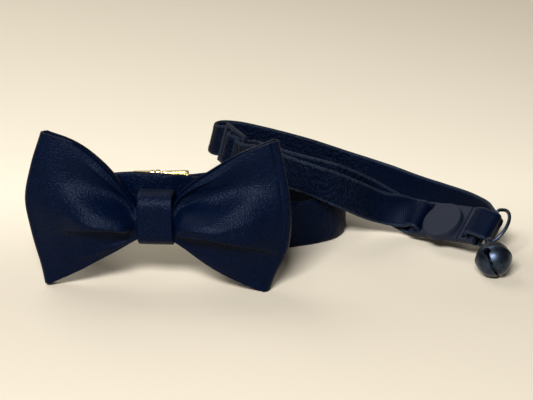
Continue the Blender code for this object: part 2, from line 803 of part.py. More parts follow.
def make_collar():
    satin = material("black_satin", (0.008, 0.010, 0.018), 0.45)
    plastic = material("black_plastic", (0.022, 0.024, 0.034), 0.38)
    black_metal = material("black_metal", (0.03, 0.03, 0.04), 0.28, 0.6)
    gilt = material("gilt", (0.75, 0.60, 0.28), 0.25, 1.0)
    whole = empty("collar", None)

    knot_middle = BOW_HEIGHT * max(wing.lower for wing in WINGS.values())
    bow_frame = empty("bow_frame", whole, (0, 0, knot_middle), (0, 0, BOW_TURN))
    make_bow(bow_frame, satin)
    make_knot(bow_frame, satin)

    band = band_route()
    upright = Vector((0, 0, 1))
    ribbon("neck_band", band, [upright] * len(band), BAND_WIDTH, BAND_THICKNESS, whole, satin, closed=True)

    for name, length, aside, bar_share in (
        ("clasp_hook", CLASP_HOOK_LENGTH, -CLASP_HOOK_LENGTH / 2 - GAP, 0.5),
        ("clasp_eye", CLASP_EYE_LENGTH, CLASP_EYE_LENGTH / 2 + GAP, 0.8),
    ):
        frame = empty(name + "_frame", whole, *band_place(band, round(CLASP_ROW * ROUTE_STEPS), aside))
        make_clasp(name, frame, length, bar_share, gilt)

    crossing = band[CROSSING_ROW * ROUTE_STEPS].copy()
    crossing.z = 0
    half = buckle_half()
    turned = Euler((BUCKLE_LEAN, BUCKLE_TIP, BUCKLE_TURN)).to_matrix()
    far_end = -BOSS_RADIUS - BUCKLE_SHOULDER - BUCKLE_SLOT - BUCKLE_BAR
    low_points = [
        Vector((far_end, BUCKLE_THICKNESS / 2, -half)),
        Vector((far_end, wrap_offset() + STRAP_THICKNESS / 2, -STRAP_WIDTH / 2)),
        Vector((0, -BUCKLE_THICKNESS / 2 - BOSS_HEIGHT, -BOSS_DROP - BOSS_RADIUS)),
    ]
    lowest = min((turned @ point).z for point in low_points)
    buckle = frame_at(
        crossing + Vector((BUCKLE_ROW.along * COLLAR_LENGTH, BUCKLE_ROW.away * COLLAR_LENGTH, GAP - lowest)),
        (BUCKLE_LEAN, BUCKLE_TIP, BUCKLE_TURN),
    )
    slider_height = SLIDER_ROW.lift * BAND_WIDTH + STRAP_WIDTH / 2
    slider = Matrix.Translation(
        crossing + Vector((SLIDER_ROW.along * COLLAR_LENGTH, SLIDER_ROW.away * COLLAR_LENGTH, slider_height))
    )
    slider = slider @ Matrix.Rotation(END_LEAN, 4, "Y") @ Matrix.Rotation(SLIDER_TURN, 4, "Z")
    socket_bar, prong_bar = make_buckle(empty_at("buckle_frame", buckle, whole), plastic)
    make_slider(empty_at("slider_frame", slider, whole), plastic)
    ring_bar = prong_bar + BUCKLE_BAR / 2 + STRAP_THICKNESS + 2 * GAP
    make_strap(crossing, buckle, (socket_bar, prong_bar, ring_bar), slider, whole, satin)

    ring = buckle @ frame_at((ring_bar, 0, 0), (0, 0, RING_SWING))
    make_ring(empty_at("ring_frame", ring, whole), black_metal)
    bell = bell_place(ring)
    bell_frame = empty_at("bell_frame", bell, whole)
    make_bell(bell_frame, black_metal)
    sinks = BELL_RADIUS - BELL_RIM - BELL_WALL - PELLET_RADIUS - 2 * GAP
    bm = bmesh.new()
    bmesh.ops.create_icosphere(bm, subdivisions=2, radius=PELLET_RADIUS)
    pellet = add("bell_pellet", mesh_from(bm, "bell_pellet"), whole, black_metal)
    pellet.location = bell.translation - Vector((0, 0, sinks))
    return whole


def stand_on_origin(whole):
    """Moves the whole so that the middle of its box is over the origin and its lowest point at height 0."""
    graph = bpy.context.evaluated_depsgraph_get()
    corners = []
    for made in bpy.context.scene.objects:
        if made.type in {"MESH", "CURVE"} and not made.hide_render:
            shown = made.evaluated_get(graph)
            corners += [shown.matrix_world @ vertex.co for vertex in shown.to_mesh().vertices]
            shown.to_mesh_clear()
    low, high = np.min(corners, axis=0), np.max(corners, axis=0)
    whole.location = (-(low[0] + high[0]) / 2, -(low[1] + high[1]) / 2, -low[2])


clear_scene()
stand_on_origin(make_collar())
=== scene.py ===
# %% [markdown]
# # A cat's bow collar, piece by piece
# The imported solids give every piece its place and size. This lesson dresses them: satin and webbing with
# real edges and gathers, moulded plastic with rounded corners, a spun bell and a folded gilt clasp. A solid
# model is smooth and plain, so what is added here is what the eye uses to tell cloth from plastic.

from collections import namedtuple
from math import cos, pi, radians, sin, tau

import bmesh
import bpy
import numpy as np
from mathutils import Euler, Matrix, Vector
from mathutils.noise import noise


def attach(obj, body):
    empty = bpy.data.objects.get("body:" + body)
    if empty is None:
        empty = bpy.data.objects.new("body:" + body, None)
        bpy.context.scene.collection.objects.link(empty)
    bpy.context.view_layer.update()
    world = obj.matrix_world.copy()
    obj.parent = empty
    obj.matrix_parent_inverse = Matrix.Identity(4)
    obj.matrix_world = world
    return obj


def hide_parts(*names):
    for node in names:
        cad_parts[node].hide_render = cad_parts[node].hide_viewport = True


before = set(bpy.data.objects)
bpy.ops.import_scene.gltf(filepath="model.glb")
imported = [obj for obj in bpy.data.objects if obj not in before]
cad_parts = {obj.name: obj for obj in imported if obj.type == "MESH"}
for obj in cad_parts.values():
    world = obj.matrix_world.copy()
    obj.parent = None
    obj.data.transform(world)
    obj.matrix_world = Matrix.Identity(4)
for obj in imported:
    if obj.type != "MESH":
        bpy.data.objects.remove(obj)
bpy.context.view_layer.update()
print("loaded", len(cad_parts), "nodes")

# %% [markdown]
# ## Sizes
# Tables hold millimetres in the layout's own frame, which has its zero on the floor under the bow's knot.
# One offset carries everything to the middle of the whole, where the solids are.

# %% Sizes and places
MM = 0.001
OFFSET = Vector((-34.71, -35.108, 0.0)) * MM

BAND_WIDTH, BAND_THICKNESS = 0.0150, 0.0024
STRAP_WIDTH, STRAP_THICKNESS = 0.0105, 0.0011
BOW_LENGTH, BOW_HEIGHT, BOW_DEPTH, BOW_WALL, BOW_FOLD = 0.0778, 0.0470, 0.0125, 0.0008, 0.0034
KNOT_WIDTH, KNOT_HEIGHT, KNOT_DEPTH, KNOT_WALL, KNOT_STEP = 0.0103, 0.0158, 0.0105, 0.0012, 0.0030
KNOT_SHIFT, KNOT_BULGE, KNOT_LIP, KNOT_SINK = 0.0006, 0.00045, 0.00015, 0.0003
LAYER_HALF = 0.00028
BUCKLE_THICKNESS, PLATE_THICKNESS = 0.0034, 0.0022
BUCKLE_RAIL, BUCKLE_BAR, BUCKLE_SLOT, BUCKLE_SHOULDER = 0.0009, 0.0017, 0.0029, 0.0005
PRONG_BODY, BOSS_RADIUS, BOSS_HEIGHT, BOSS_DROP = 0.0013, 0.0067, 0.0013, 0.0012
RING_WIRE, RING_REACH, RING_SHOULDER, RING_CORNER = 0.0011, 0.0076, 0.25, 0.0006
BELL_RADIUS, BELL_WALL, BELL_SLIT, BELL_HOLE = 0.00565, 0.0006, 0.0010, 0.0011
BELL_SEAM = 0.00028
BELL_SKIN = BELL_RADIUS - 0.0003
BELL_HOLE_LEVEL, BELL_ROLL = -0.20, radians(10)
BAIL_RADIUS, BAIL_WIRE, BAIL_SEAT = 0.0017, 0.0009, 0.72
SLIDER_BAR, SLIDER_SLOT = 0.0013, 0.0045
CLAMP_SHEET, CLAMP_CROWN = 0.0007, 0.0009
BOSS_RIM = 0.00045
GAP = 0.0003

BAND_WAVE, BAND_CRINKLE = 0.00034, 0.00012
STRAP_WAVE, STRAP_CRUMPLE, STRAP_BEAD = 0.00010, 0.00060, 0.00012
CRUMPLE_RUN, CRUMPLE_LENGTH, CRUMPLE_START, CRUMPLE_END = 0.287, 0.011, 0.020, 0.040
BOW_CREASE, BOW_GROOVE, WRAP_WAVE = 0.00035, 0.00025, 0.00018


def place_of(location, rotation):
    """A piece's frame as a matrix, from its place and its turn."""
    return Matrix.Translation(location) @ Euler(rotation).to_matrix().to_4x4()


BOW_FRAME = place_of((-0.03471, -0.035108, 0.022278), (0.0, 0.0, -0.0698))
BUCKLE_FRAME = place_of((0.054802, -0.002735, 0.008154), (-0.9338, -0.1484, -0.7679))
RING_FRAME = place_of((0.066043, -0.013591, 0.010489), (-0.9037, -0.3151, -0.8984))
BELL_FRAME = place_of((0.065771, -0.027302, 0.00565), (0.9856, -0.7863, -2.7035))
SLIDER_FRAME = place_of((-0.013873, 0.02658, 0.02325), (-0.2127, 0.1213, -1.0602))
HOOK_FRAME = place_of((-0.041966, 0.022266, 0.0), (0.0, 0.0, 0.0256))
EYE_FRAME = place_of((-0.032674, 0.022419, 0.0), (0.0, 0.0, 0.0846))

# %% [markdown]
# ## Node sums that read like sums
# A procedural material is mostly arithmetic on coordinates. Wrapping a socket in a small class lets that
# arithmetic be written as plain Python expressions, which is far easier to follow than a list of links.

# %% Material helpers


class Wire:
    """A node's output that takes part in Python expressions."""

    def __init__(self, tree, output):
        self.tree = tree
        self.output = output

    def sum(self, operation, first, *others):
        made = self.tree.nodes.new("ShaderNodeMath")
        made.operation = operation
        for socket, value in zip(made.inputs, (first, *others)):
            plug(self.tree, socket, value)
        return Wire(self.tree, made.outputs[0])

    def __add__(self, other):
        return self.sum("ADD", self, other)

    def __sub__(self, other):
        return self.sum("SUBTRACT", self, other)

    def __rsub__(self, other):
        return self.sum("SUBTRACT", other, self)

    def __mul__(self, other):
        return self.sum("MULTIPLY", self, other)

    __radd__ = __add__
    __rmul__ = __mul__

    def wave(self):
        return self.sum("SINE", self)

    def size(self):
        return self.sum("ABSOLUTE", self)

    def step(self, start, end):
        """0 below start and 1 above end, smooth between."""
        made = self.tree.nodes.new("ShaderNodeMapRange")
        made.interpolation_type = "SMOOTHSTEP"
        for name, value in (("Value", self), ("From Min", start), ("From Max", end)):
            plug(self.tree, made.inputs[name], value)
        return Wire(self.tree, made.outputs[0])


def plug(tree, socket, value):
    if isinstance(value, Wire):
        tree.links.new(value.output, socket)
    else:
        socket.default_value = value


class Finish:
    """A material whose Principled shader takes constants and wires by its sockets' names."""

    def __init__(self, name, **constants):
        self.material = bpy.data.materials.new(name)
        self.material.use_nodes = True
        self.tree = self.material.node_tree
        self.shader = self.tree.nodes["Principled BSDF"]
        for key, value in constants.items():
            self.shader.inputs[key.replace("_", " ")].default_value = value

    def node(self, kind, settings=None, output=0, **values):
        made = self.tree.nodes.new("ShaderNode" + kind)
        for key, value in (settings or {}).items():
            setattr(made, key, value)
        for key, value in values.items():
            plug(self.tree, made.inputs[key.replace("_", " ")], value)
        return Wire(self.tree, made.outputs[output])

    def cloth(self):
        """How far along and across the cloth a point is, in metres."""
        parts = self.tree.nodes.new("ShaderNodeSeparateXYZ")
        plug(self.tree, parts.inputs[0], self.node("UVMap", {"uv_map": "cloth"}))
        return Wire(self.tree, parts.outputs[0]), Wire(self.tree, parts.outputs[1])

    def place(self):
        return self.node("TexCoord", output=3)

    def noise(self, where, scale, detail=3.0, rough=0.6):
        return self.node("TexNoise", Vector=where, Scale=scale, Detail=detail, Roughness=rough)

    def mix(self, share, first, second):
        made = self.tree.nodes.new("ShaderNodeMix")
        made.data_type = "RGBA"
        plug(self.tree, made.inputs[0], share)
        plug(self.tree, made.inputs[6], first)
        plug(self.tree, made.inputs[7], second)
        return Wire(self.tree, made.outputs[2])

    def set(self, name, value):
        plug(self.tree, self.shader.inputs[name], value)

    def bump(self, height, distance, strength=1.0):
        self.set("Normal", self.node("Bump", Height=height, Distance=distance, Strength=strength))


# %% [markdown]
# ## Satin
# Satin is woven so that long threads float over the surface, and that gives it a broad soft shine broken
# into tiny sparks where the floats end. Dark satin is nearly all highlight, so the colour stays close to
# black, and roughness that changes over short lengths does the rest, together with a fine bump.

# %% Satin and webbing
BLACK = (0.0001, 0.0015, 0.0080, 1.0)
NAVY = (0.0008, 0.0048, 0.0220, 1.0)
GLOSS_BLUE = (0.56, 0.70, 1.0, 1.0)


def satin(name, crinkle=0.0):
    made = Finish(name, Specular_IOR_Level=0.080, Specular_Tint=GLOSS_BLUE)
    along, across = made.cloth()
    where = made.place()
    floats = made.noise(where, 1900.0, 1.0, 0.6)
    patches = made.noise(where, 130.0, 3.0)
    warp = (along * (tau / 0.00050)).wave()
    weft = (across * (tau / 0.00044)).wave()
    made.set("Roughness", 0.29 + 0.28 * floats + 0.10 * (patches - 0.5))
    made.set("Base Color", made.mix(floats.step(0.48, 0.72) * 0.6 + 0.10 * patches, BLACK, NAVY))
    height = 0.15 * warp * weft + 4.6 * floats
    if crinkle:
        height = height + crinkle * made.noise(where, 380.0, 4.0)
    made.bump(height, 0.00005, 1.0)
    return made.material


def webbing(name, width):
    """Ribbed satin tape with a painted highlight along each edge, crumpled where the bow presses it."""
    made = Finish(name, Specular_IOR_Level=0.075, Specular_Tint=GLOSS_BLUE)
    along, across = made.cloth()
    where = made.place()
    floats = made.noise(where, 1700.0, 2.0, 0.7)
    ribs = (along * (tau / 0.00062)).wave()
    edge = (across.size() - width * 0.47).size().step(0.0007, 0.0003)
    beside_bow = made.node("SeparateXYZ", Vector=where).step(CRUMPLE_END, CRUMPLE_START)
    crumple = beside_bow * made.noise(where, 800.0, 2.0, 0.6)
    made.set("Roughness", 0.42 + 0.20 * floats - 0.10 * edge)
    # Painted highlight: the colour turns paler along each edge, standing in for the light the rounded edge
    # catches; away from the edges the floats only vary the tone.
    float_tone_and_edge_highlight = made.mix(edge, (0.0030, 0.0085, 0.0260, 1.0), (0.012, 0.018, 0.032, 1.0))
    made.set("Base Color", made.mix(floats.step(0.45, 0.75) * 0.4 + 0.6 * edge, BLACK, float_tone_and_edge_highlight))
    made.bump(0.5 * ribs * (1.0 - edge) + 1.2 * floats + 1.5 * edge + 34.0 * crumple, 0.00005, 1.0)
    return made.material


bow_satin = satin("bow_satin")
band_satin = satin("band_satin", crinkle=10.0)
strap_tape = webbing("strap_tape", STRAP_WIDTH)
print("cloth finishes made")

# %% [markdown]
# ## Plastic and metal
# Moulded acetal has a soft eggshell shine and faint flow marks. Dark plated metal is smoother and darker,
# and its plating is never quite even. The gilt clasp is bright metal, with fine drawing lines.

# %% Plastic and metal


def plastic(name):
    made = Finish(name, Specular_IOR_Level=0.13)
    where = made.place()
    grain = made.noise(where, 3200.0, 2.0)
    flow = made.noise(where, 240.0, 3.0)
    made.set("Base Color", made.mix(flow, (0.0045, 0.0075, 0.0170, 1.0), (0.0080, 0.0115, 0.0240, 1.0)))
    made.set("Roughness", 0.44 + 0.12 * grain + 0.06 * flow)
    made.bump(grain, 0.00002, 0.5)
    return made.material


def plated(name, colour, dull, rough, lines=0.0):
    made = Finish(name, Metallic=1.0)
    where = made.place()
    clouds = made.noise(where, 520.0, 4.0)
    scuffs = made.noise(where, 1900.0, 3.0)
    made.set("Base Color", made.mix(clouds.step(0.35, 0.75), colour, dull))
    made.set("Roughness", rough + 0.16 * scuffs)
    made.bump(scuffs + lines * clouds, 0.00002, 0.4)
    return made.material


black_plastic = plastic("black_plastic")
black_metal = plated("black_metal", (0.040, 0.055, 0.085, 1.0), (0.016, 0.022, 0.036, 1.0), 0.30)
gilt = plated("gilt", (0.86, 0.72, 0.38, 1.0), (0.74, 0.58, 0.26, 1.0), 0.16, 0.5)
print("hard finishes made")

# %% [markdown]
# ## Curves through a few chosen points
# A strap is placed by a short table of stations, and a smooth curve is drawn through them. Spacing the
# curve by the root of each chord keeps it from overshooting where a tight fold follows a long run.

# %% Curve and mesh helpers


def smooth_route(rows, closed=False, steps=10):
    """Rows on a smooth curve through the given ones, spaced by the place in their first three columns."""
    rows = np.array(rows, dtype=float)
    count = len(rows)
    if closed:
        before, after = rows[-1:], rows[:2]
    else:
        before, after = 2 * rows[:1] - rows[1:2], 2 * rows[-1:] - rows[-2:-1]
    padded = np.concatenate([before, rows, after])
    spans = np.sqrt(np.linalg.norm(np.diff(padded[:, :3], axis=0), axis=1))[:, None]
    rates = np.diff(padded, axis=0) / spans
    slopes = (rates[:-1] * spans[1:] + rates[1:] * spans[:-1]) / (spans[:-1] + spans[1:])
    route = []
    for i in range(count if closed else count - 1):
        start, end = padded[i + 1], padded[i + 2]
        leaving, arriving = slopes[i] * spans[i + 1], slopes[i + 1] * spans[i + 1]
        for t in np.arange(steps) / steps:
            route.append(
                start * (1 + 2 * t) * (1 - t) ** 2
                + leaving * t * (1 - t) ** 2
                + end * t * t * (3 - 2 * t)
                + arriving * t * t * (t - 1)
            )
    if not closed:
        route.append(rows[-1])
    return np.array(route)


def finish_piece(name, bm, material, replaced=(), smooth_angle=50.0):
    """Writes a bmesh out as a piece that rides on the collar."""
    mesh = bpy.data.meshes.new(name)
    bm.to_mesh(mesh)
    bm.free()
    mesh.materials.append(material)
    mesh.shade_smooth()
    mesh.set_sharp_from_angle(angle=radians(smooth_angle))
    made = bpy.data.objects.new(name, mesh)
    bpy.context.scene.collection.objects.link(made)
    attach(made, "root")
    if replaced:
        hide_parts(*replaced)
    print(name, len(mesh.polygons), "faces")
    return made


def skin(rings, along, around, closed_along=False):
    """A surface through rings of points, with the cloth's own coordinates on it and its ends capped."""
    bm = bmesh.new()
    cloth = bm.loops.layers.uv.new("cloth")
    made = [[bm.verts.new(point) for point in ring] for ring in rings]
    count = len(made)
    width = len(made[0])
    for i in range(count if closed_along else count - 1):
        after = (i + 1) % count
        for k in range(width):
            beside = (k + 1) % width
            face = bm.faces.new((made[i][k], made[i][beside], made[after][beside], made[after][k]))
            corners = ((i, k), (i, k + 1), (i + 1, k + 1), (i + 1, k))
            for loop, (row, column) in zip(face.loops, corners):
                loop[cloth].uv = (along[row], around[column])
    if not closed_along:
        bm.faces.new(reversed(made[0]))
        bm.faces.new(made[-1])
    bmesh.ops.recalc_face_normals(bm, faces=bm.faces)
    return bm


def ribbon(name, route, ups, section, material, replaced, closed=False, ripple=None):
    """A strap along a route. Its section is a list of (across, out) points, in metres."""
    count = len(route)
    rings = []
    run = [0.0]
    for i in range(count):
        before = route[i - 1] if closed or i else route[0]
        after = route[(i + 1) % count] if closed or i + 1 < count else route[-1]
        along = (after - before).normalized()
        up = (ups[i] - along * ups[i].dot(along)).normalized()
        out = along.cross(up)
        ring = []
        for across, depth in section:
            shift = ripple(run[-1], across, depth) if ripple else 0.0
            ring.append(route[i] + up * across + out * (depth + shift))
        rings.append(ring)
        run.append(run[-1] + (route[(i + 1) % count] - route[i]).length)
    around = [across for across, depth in section] + [section[0][0]]
    bm = skin(rings, run, around, closed)
    return finish_piece(name, bm, material, replaced)


def tape_section(width, thickness, bead=0.0, cuts=9):
    """A flat strap's section with rounded edges, and a thin bead beside each edge."""
    points = []
    half, deep = width / 2, thickness / 2
    radius = deep * 0.85
    for k in range(cuts + 1):
        across = (half - radius) * (1 - 2 * k / cuts)
        lift = bead * (1 if k in (1, cuts - 1) else 0)
        points.append((across, deep + lift))
    for k in range(1, 6):
        angle = pi / 2 + pi * k / 6
        points.append((-(half - radius) + radius * cos(angle), deep * sin(angle)))
    points += [(-across, -depth) for across, depth in points[: cuts + 1]]
    for k in range(1, 6):
        angle = -pi / 2 + pi * k / 6
        points.append(((half - radius) + radius * cos(angle), deep * sin(angle)))
    return points


def tube(points, radius, sides=12, closed=True):
    """A round wire through points, as a bmesh."""
    count = len(points)
    up = Vector((0.0, 0.0, 1.0))
    first = (points[1] - points[0]).normalized()
    if abs(first.dot(up)) > 0.9:
        up = Vector((0.0, 1.0, 0.0))
    rings = []
    for i, point in enumerate(points):
        before = points[i - 1] if closed or i else points[0]
        after = points[(i + 1) % count] if closed or i + 1 < count else points[-1]
        along = (after - before).normalized()
        up = (up - along * up.dot(along)).normalized()
        side = along.cross(up)
        turns = [tau * k / sides for k in range(sides)]
        rings.append([point + (up * cos(turn) + side * sin(turn)) * radius for turn in turns])
    return skin(rings, [0.0] * (count + 1), [0.0] * (sides + 1), closed)


# %% [markdown]
# ## The wide satin band
# The band is folded from one strip so that it is two layers thick, which shows as a thin groove along its
# top edge. Satin that has been turned inside out and pressed never lies quite flat, so small crinkles cross
# it, and they are real waves in the mesh because they change the outline of the edge.

# %% The wide band
BAND_ROUTE = [
    (0.00, 7.11, 25.50),
    (7.86, 8.77, 24.20),
    (19.77, 16.63, 17.90),
    (30.72, 24.97, 11.40),
    (40.73, 31.88, 7.50),
    (49.54, 35.45, 7.50),
    (55.25, 40.93, 7.50),
    (57.16, 48.31, 7.50),
    (54.54, 57.12, 7.50),
    (45.73, 64.74, 7.50),
    (32.87, 68.08, 7.50),
    (21.91, 65.69, 7.50),
    (11.91, 60.22, 7.50),
    (2.86, 57.60, 7.50),
    (-7.86, 57.36, 7.50),
    (-17.86, 56.17, 7.50),
    (-26.20, 49.74, 7.50),
    (-29.77, 37.83, 7.50),
    (-27.39, 24.97, 12.90),
    (-18.81, 14.01, 21.40),
    (-9.05, 8.06, 25.50),
]


def band_section():
    """Two layers side by side, closed round at the bottom and parted by a groove at the top."""
    half, deep = BAND_WIDTH / 2, BAND_THICKNESS / 2
    lip = deep * 0.48
    points = []
    cuts = 14
    for k in range(cuts + 1):
        points.append(((half - lip) - (BAND_WIDTH - lip - deep) * k / cuts, deep))
    for k in range(1, 6):
        angle = pi / 2 + pi * k / 6
        points.append((-(half - deep) + deep * cos(angle), deep * sin(angle)))
    for k in range(cuts, -1, -1):
        points.append(((half - lip) - (BAND_WIDTH - lip - deep) * k / cuts, -deep))
    for centre in (-1, 1):
        for k in range(1, 5):
            angle = -pi / 2 + pi * k / 5
            out = centre * (deep - lip) + lip * sin(angle) * 0.98
            points.append(((half - lip) + lip * cos(angle), out))
        if centre < 0:
            points.append((half - 2.2 * lip, 0.0))
    return points


def band_ripple(run, across, depth):
    """Small crinkles, the same on both faces so that the wall keeps its thickness."""
    slant = noise(Vector((run * 190, across * 110, 0.3)))
    fine = noise(Vector((run * 520, across * 240, 2.7)))
    hold = 0.6 + 0.4 * (2 * across / BAND_WIDTH) ** 2
    return (BAND_WAVE * slant + BAND_CRINKLE * fine) * hold


route = [Vector(row) * MM + OFFSET for row in smooth_route(BAND_ROUTE, True, 18)]
upright = [Vector((0.0, 0.0, 1.0))] * len(route)
neck_band = ribbon(
    "satin_band", route, upright, band_section(), band_satin, ["neck_band"], True, band_ripple
)

# %% [markdown]
# ## The narrow collar's strap
# This one is woven tape, so it is modelled as it is: a flat strip with rounded selvedges that runs through
# the slider, round the buckle's bars and round the ring. Each station also says which way the tape's width
# points, because the tape leans back with the buckle and stands upright elsewhere.

# %% The strap
STRAP_ROUTE = [
    (99.89, 24.75, 7.70, 0.50, 0.64, 0.59),
    (99.28, 25.34, 7.58, 0.50, 0.64, 0.59),
    (98.50, 25.80, 7.73, 0.50, 0.64, 0.59),
    (97.83, 25.75, 8.35, 0.50, 0.64, 0.59),
    (96.13, 24.57, 11.06, 0.50, 0.64, 0.59),
    (95.96, 24.04, 11.78, 0.50, 0.64, 0.59),
    (96.39, 23.33, 12.19, 0.50, 0.64, 0.59),
    (96.99, 22.75, 12.31, 0.50, 0.64, 0.59),
    (99.88, 20.91, 11.88, 0.50, 0.64, 0.59),
    (101.02, 20.24, 11.66, 0.50, 0.64, 0.59),
    (102.00, 20.32, 10.75, 0.50, 0.64, 0.59),
    (102.25, 21.10, 9.69, 0.50, 0.64, 0.59),
    (102.91, 22.28, 7.85, 0.50, 0.64, 0.59),
    (104.48, 33.40, 6.75, 0.00, 0.00, 1.00),
    (103.66, 42.62, 6.30, 0.00, 0.00, 1.00),
    (99.35, 51.44, 6.15, 0.00, 0.00, 1.00),
    (92.59, 59.43, 6.15, 0.00, 0.00, 1.00),
    (83.98, 66.40, 6.90, 0.00, 0.00, 1.00),
    (73.52, 71.32, 9.30, 0.00, 0.00, 1.00),
    (58.97, 74.40, 13.20, 0.00, 0.00, 1.00),
    (43.59, 75.42, 18.00, 0.00, 0.00, 1.00),
    (27.40, 77.06, 21.75, 0.16, 0.00, 0.99),
    (20.84, 77.68, 22.80, 0.24, 0.00, 0.97),
    (16.33, 76.86, 23.25, 0.24, 0.00, 0.97),
    (14.07, 74.19, 23.40, 0.24, 0.00, 0.97),
    (15.10, 71.12, 23.25, 0.24, 0.00, 0.97),
    (19.33, 68.39, 23.63, 0.24, 0.00, 0.97),
    (20.08, 67.04, 23.44, 0.24, 0.00, 0.97),
    (18.78, 61.36, 23.76, 0.24, 0.00, 0.97),
    (19.54, 60.01, 23.57, 0.24, 0.00, 0.97),
    (24.95, 58.34, 22.22, 0.24, 0.00, 0.97),
    (25.71, 56.99, 22.04, 0.24, 0.00, 0.97),
    (29.04, 51.44, 23.85, 0.14, 0.00, 0.99),
    (38.88, 43.24, 23.25, 0.01, 0.00, 1.00),
    (47.90, 38.11, 22.35, 0.00, 0.00, 1.00),
    (53.02, 36.27, 21.45, 0.00, 0.00, 1.00),
    (57.53, 37.29, 19.05, 0.00, 0.00, 1.00),
    (67.99, 42.83, 12.15, 0.00, 0.00, 1.00),
    (81.96, 42.07, 3.98, 0.50, 0.64, 0.59),
    (83.17, 40.90, 4.23, 0.50, 0.64, 0.59),
    (83.77, 40.31, 4.36, 0.50, 0.64, 0.59),
    (84.20, 39.61, 4.76, 0.50, 0.64, 0.59),
    (84.03, 39.07, 5.49, 0.50, 0.64, 0.59),
    (82.33, 37.90, 8.19, 0.50, 0.64, 0.59),
    (81.66, 37.85, 8.81, 0.50, 0.64, 0.59),
    (80.88, 38.31, 8.97, 0.50, 0.64, 0.59),
    (80.28, 38.89, 8.84, 0.50, 0.64, 0.59),
    (79.07, 40.06, 8.59, 0.50, 0.64, 0.59),
    (69.01, 39.14, 10.65, 0.00, 0.00, 1.00),
    (57.53, 32.17, 17.85, 0.00, 0.00, 1.00),
    (49.54, 30.12, 21.90, 0.00, 0.00, 1.00),
    (40.93, 35.04, 23.40, 0.00, 0.00, 1.00),
    (31.09, 44.47, 24.15, 0.11, 0.00, 0.99),
    (23.21, 53.05, 22.66, 0.24, 0.00, 0.97),
    (21.24, 56.57, 23.15, 0.24, 0.00, 0.97),
]


def strap_ripple(run, across, depth):
    """Slight waves everywhere, and stronger ones in the outer layer beside the bow."""
    pressed = np.exp(-(((run - CRUMPLE_RUN) / CRUMPLE_LENGTH) ** 2))
    soft = noise(Vector((run * 260, across * 120, 5.1)))
    crumple = noise(Vector((run * 620 + across * 300, across * 520, 1.9)))
    return STRAP_WAVE * soft + STRAP_CRUMPLE * pressed * crumple


rows = smooth_route(STRAP_ROUTE, False, 8)
strap = ribbon(
    "strap_tape",
    [Vector(row[:3]) * MM + OFFSET for row in rows],
    [Vector(row[3:]) for row in rows],
    tape_section(STRAP_WIDTH, STRAP_THICKNESS, STRAP_BEAD),
    strap_tape,
    ["collar_strap"],
    False,
    strap_ripple,
)

# %% [markdown]
# ## The bow
# A bow is a flat loop of folded satin that a narrow wrap squeezes at its middle. The squeeze is what makes
# the shape: the cloth fans out from it in gathers that are deep and sharp by the knot and melt away towards
# the ends. Three tables give the outline, one gives the puff, and one lists the gathers.

# %% The bow's tables
Row = namedtuple("Row", "at first second")
LEFT_EDGE = [
    Row(0.00, 0.000, 0.000),
    Row(0.05, 0.070, 0.055),
    Row(0.12, 0.190, 0.130),
    Row(0.22, 0.345, 0.238),
    Row(0.40, 0.585, 0.420),
    Row(0.65, 0.825, 0.685),
    Row(1.00, 1.000, 1.000),
]
RIGHT_EDGE = [
    Row(0.00, 0.000, 0.000),
    Row(0.05, 0.110, 0.060),
    Row(0.12, 0.225, 0.140),
    Row(0.22, 0.350, 0.265),
    Row(0.40, 0.530, 0.485),
    Row(0.65, 0.765, 0.740),
    Row(1.00, 1.000, 1.000),
]
ENDS = [
    Row(-1.00, 0.862, 0.858),
    Row(-0.75, 0.885, 0.912),
    Row(-0.50, 0.920, 0.985),
    Row(-0.20, 0.955, 1.018),
    Row(0.10, 0.977, 1.018),
    Row(0.55, 0.922, 0.982),
    Row(1.00, 0.828, 0.928),
]
PUFF = [
    Row(0.00, 0.29, 0.20),
    Row(0.12, 0.35, 0.20),
    Row(0.28, 0.45, 0.22),
    Row(0.48, 0.50, 0.21),
    Row(0.75, 0.38, 0.17),
    Row(1.00, 0.136, 0.136),
]
CORNERS = {-1: (0.532, 0.458, LEFT_EDGE), 1: (0.508, 0.472, RIGHT_EDGE)}

